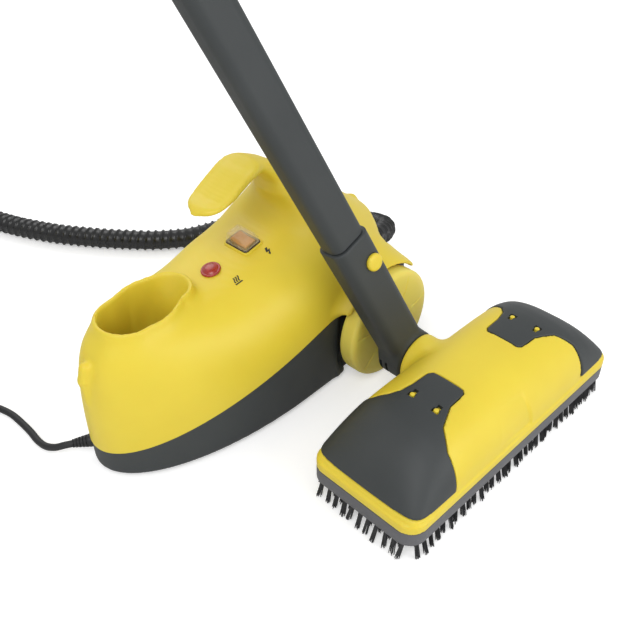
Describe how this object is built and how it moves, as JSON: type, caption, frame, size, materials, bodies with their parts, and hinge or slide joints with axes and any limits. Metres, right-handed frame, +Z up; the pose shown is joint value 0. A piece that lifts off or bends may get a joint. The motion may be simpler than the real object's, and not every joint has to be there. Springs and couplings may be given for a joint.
{
  "type": "canister steam cleaner with floor brush",
  "caption": "Wheeled canister steam cleaner with an open filler well and a beak-shaped handle, a corrugated hose, a steam gun on plug-in tubes and a bristled floor brush on a swivel neck.",
  "frame": {"origin": "centre of the floor brush's footprint on the floor", "axes": "+X along the brush's long side, +Y from the brush towards the canister, +Z up"},
  "size_m": [0.6533, 0.8059, 1.0882],
  "materials": {
    "yellow_plastic": "satin moulded",
    "charcoal_plastic": "fine matt moulded",
    "rim_plastic": "fine matt moulded",
    "black_plastic": "semi-matt",
    "hose_plastic": "semi-gloss corrugated",
    "cord_rubber": "matt",
    "seal_rubber": "matt",
    "bristle": "nylon filament",
    "steel": "brushed",
    "copper_pipe": "drawn",
    "white_plastic": "plain",
    "wire_sheath": "plain",
    "amber_clear": "clear flexible",
    "rocker_amber": "translucent amber",
    "lamp_red": "translucent red"
  },
  "bodies": {
    "canister": {"upper_shell": "yellow_plastic", "base_tub": "charcoal_plastic", "boiler_tank": "steel", "heating_element": "steel", "thermostat": "black_plastic", "thermal_fuse": "steel", "pressure_switch": "black_plastic", "solenoid_valve": "black_plastic", "steam_pipe": "copper_pipe", "hose_socket": "black_plastic", "terminal_block": "white_plastic", "wire_loom": "wire_sheath", "switch_frame": "yellow_plastic", "splash_cover": "amber_clear", "lamp_lens": "lamp_red", "lamp_body": "white_plastic", "rear_axle": "steel", "axle_bushes": "black_plastic", "axle_caps": "steel", "castor_bush": "black_plastic", "base_screws": "steel", "cord_gland": "cord_rubber", "mains_cord": "cord_rubber", "cord_coil": "cord_rubber", "cord_tie": "black_plastic", "mains_plug": "cord_rubber", "steam_hose": "hose_plastic", "hose_cuff": "black_plastic", "neck_bush": "black_plastic", "brush_housing": "yellow_plastic", "brush_base": "rim_plastic", "bristle_block": "bristle"},
    "near_wheel": {"wheel_near": "yellow_plastic"},
    "far_wheel": {"wheel_far": "yellow_plastic"},
    "castor": {"castor_fork": "charcoal_plastic"},
    "castor_roller": {"castor_wheel": "black_plastic"},
    "cap_seal": {"cap_washer": "seal_rubber"},
    "cap": {"safety_cap": "black_plastic"},
    "rocker": {"switch_rocker": "rocker_amber"},
    "wand": {"swivel_elbow": "charcoal_plastic", "neck_seal": "seal_rubber", "neck_ring": "steel", "lower_tube": "charcoal_plastic", "upper_tube": "charcoal_plastic", "lower_pipe": "white_plastic", "upper_pipe": "white_plastic", "tube_seals": "seal_rubber", "button_springs": "steel", "gun_left": "charcoal_plastic", "gun_right": "charcoal_plastic", "gun_switch": "black_plastic", "trigger_spring": "steel", "gun_cuff": "black_plastic"},
    "elbow_release": {"elbow_button": "yellow_plastic"},
    "tube_release": {"tube_button": "yellow_plastic"},
    "gun_release": {"gun_button": "yellow_plastic"},
    "trigger": {"gun_trigger": "yellow_plastic"},
    "lock": {"trigger_lock": "yellow_plastic"},
    "left_clip": {"clip_left": "charcoal_plastic"},
    "right_clip": {"clip_right": "charcoal_plastic"}
  },
  "joints": [
    {"name": "near_wheel_spin", "type": "hinge", "parent": "canister", "child": "near_wheel", "pos_m": [0.02007, 0.11905, 0.055], "axis": [-0.0349, 0.9994, 0], "continuous": true},
    {"name": "far_wheel_spin", "type": "hinge", "parent": "canister", "child": "far_wheel", "pos_m": [0.01393, 0.29495, 0.055], "axis": [-0.0349, 0.9994, 0], "continuous": true},
    {"name": "castor_swivel", "type": "hinge", "parent": "canister", "child": "castor", "pos_m": [-0.22785, 0.19845, 0.03], "axis": [0, 0, 1], "continuous": true},
    {"name": "castor_roll", "type": "hinge", "parent": "castor", "child": "castor_roller", "pos_m": [-0.22285, 0.19862, 0.011], "axis": [-0.0349, 0.9994, 0], "continuous": true},
    {"name": "cap_lift", "type": "slide", "parent": "canister", "child": "cap_seal", "axis": [0, 0, 1], "range_m": [0, 0.012]},
    {"name": "cap_turn", "type": "hinge", "parent": "cap_seal", "child": "cap", "pos_m": [-0.18887, 0.19981, 0.09], "axis": [0, 0, 1], "range_deg": [0, 1440]},
    {"name": "rocker_tilt", "type": "hinge", "parent": "canister", "child": "rocker", "pos_m": [-0.07794, 0.20369, 0.15006], "axis": [0.9776, 0.0341, 0.2079], "range_deg": [-12, 0]},
    {"name": "wand_swivel", "type": "hinge", "parent": "canister", "child": "wand", "pos_m": [0, 0.074, 0.055], "axis": [0, 1, 0], "range_deg": [-15, 100]},
    {"name": "elbow_release_press", "type": "slide", "parent": "wand", "child": "elbow_release", "axis": [0.0812, 0.9781, -0.1914], "range_m": [0, 0.003], "stiffness_N_per_m": 600, "deforming": ["button_springs"]},
    {"name": "tube_release_press", "type": "slide", "parent": "wand", "child": "tube_release", "axis": [0.0812, 0.9781, -0.1914], "range_m": [0, 0.003], "stiffness_N_per_m": 600, "deforming": ["button_springs"]},
    {"name": "gun_release_press", "type": "slide", "parent": "wand", "child": "gun_release", "axis": [0.0812, 0.9781, -0.1914], "range_m": [0, 0.003], "stiffness_N_per_m": 600, "deforming": ["button_springs"]},
    {"name": "trigger_squeeze", "type": "hinge", "parent": "wand", "child": "trigger", "pos_m": [-0.4221, 0.33531, 1.0494], "axis": [0.9205, 0, 0.3907], "range_deg": [0, 10], "stiffness_Nm_per_rad": 0.6, "deforming": ["trigger_spring"]},
    {"name": "lock_slide", "type": "slide", "parent": "wand", "child": "lock", "axis": [0.0812, 0.9781, -0.1914], "range_m": [0, 0.006]},
    {"name": "left_clip_lift", "type": "hinge", "parent": "canister", "child": "left_clip", "pos_m": [-0.044, 0, 0.0845], "axis": [0, 1, 0], "range_deg": [0, 9], "stiffness_Nm_per_rad": 0.8},
    {"name": "right_clip_lift", "type": "hinge", "parent": "canister", "child": "right_clip", "pos_m": [0.044, 0, 0.0845], "axis": [0, -1, 0], "range_deg": [0, 9], "stiffness_Nm_per_rad": 0.8}
  ],
  "couplings": [
    {"joint": "cap_turn", "follows": "cap_lift", "rad_per_m": 2094.4}
  ]
}
